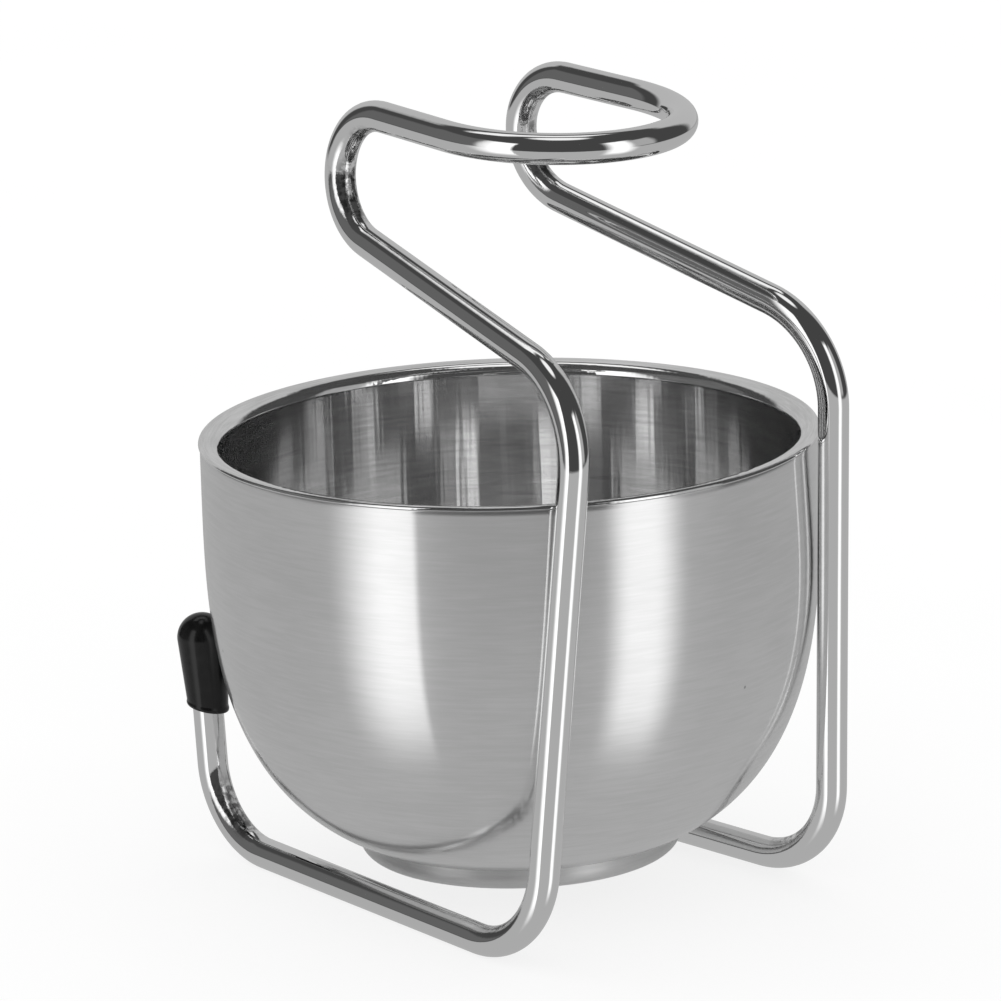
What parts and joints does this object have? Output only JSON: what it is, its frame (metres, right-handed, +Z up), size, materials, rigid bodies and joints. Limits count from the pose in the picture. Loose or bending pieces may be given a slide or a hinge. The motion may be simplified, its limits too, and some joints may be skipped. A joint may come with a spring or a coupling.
{
  "type": "shaving bowl with wire brush stand",
  "caption": "Double-walled steel shaving bowl gripped in a bent chrome wire stand, with rubber-capped wire ends and an open loop above the bowl that hangs a shaving brush.",
  "frame": {"origin": "on the table, under the middle of the whole object: midway between its sides, in the mirror plane of the stand, and midway between its front and its back", "axes": "+Z up, -Y towards the open front where the capped rod ends stand, +Y towards the tall posts, +X to the right when seen from the front"},
  "size_m": [0.1, 0.1004, 0.1304],
  "materials": {
    "chrome_rod": "bright chrome plate",
    "brushed_bowl_steel": "fine brushing around the bowl, satin, with a polished lip",
    "black_rubber": "smooth soft gloss"
  },
  "bodies": {
    "stand": {"stand_rod": "chrome_rod", "end_cap_right": "black_rubber", "end_cap_left": "black_rubber"},
    "bowl": {"bowl_outer_shell": "brushed_bowl_steel", "bowl_inner_shell": "brushed_bowl_steel", "bowl_foot_cup": "brushed_bowl_steel"}
  },
  "joints": [
    {"name": "bowl_lift", "type": "slide", "parent": "stand", "child": "bowl", "axis": [0, -0.309, 0.9511], "range_m": [0, 0.016]}
  ]
}
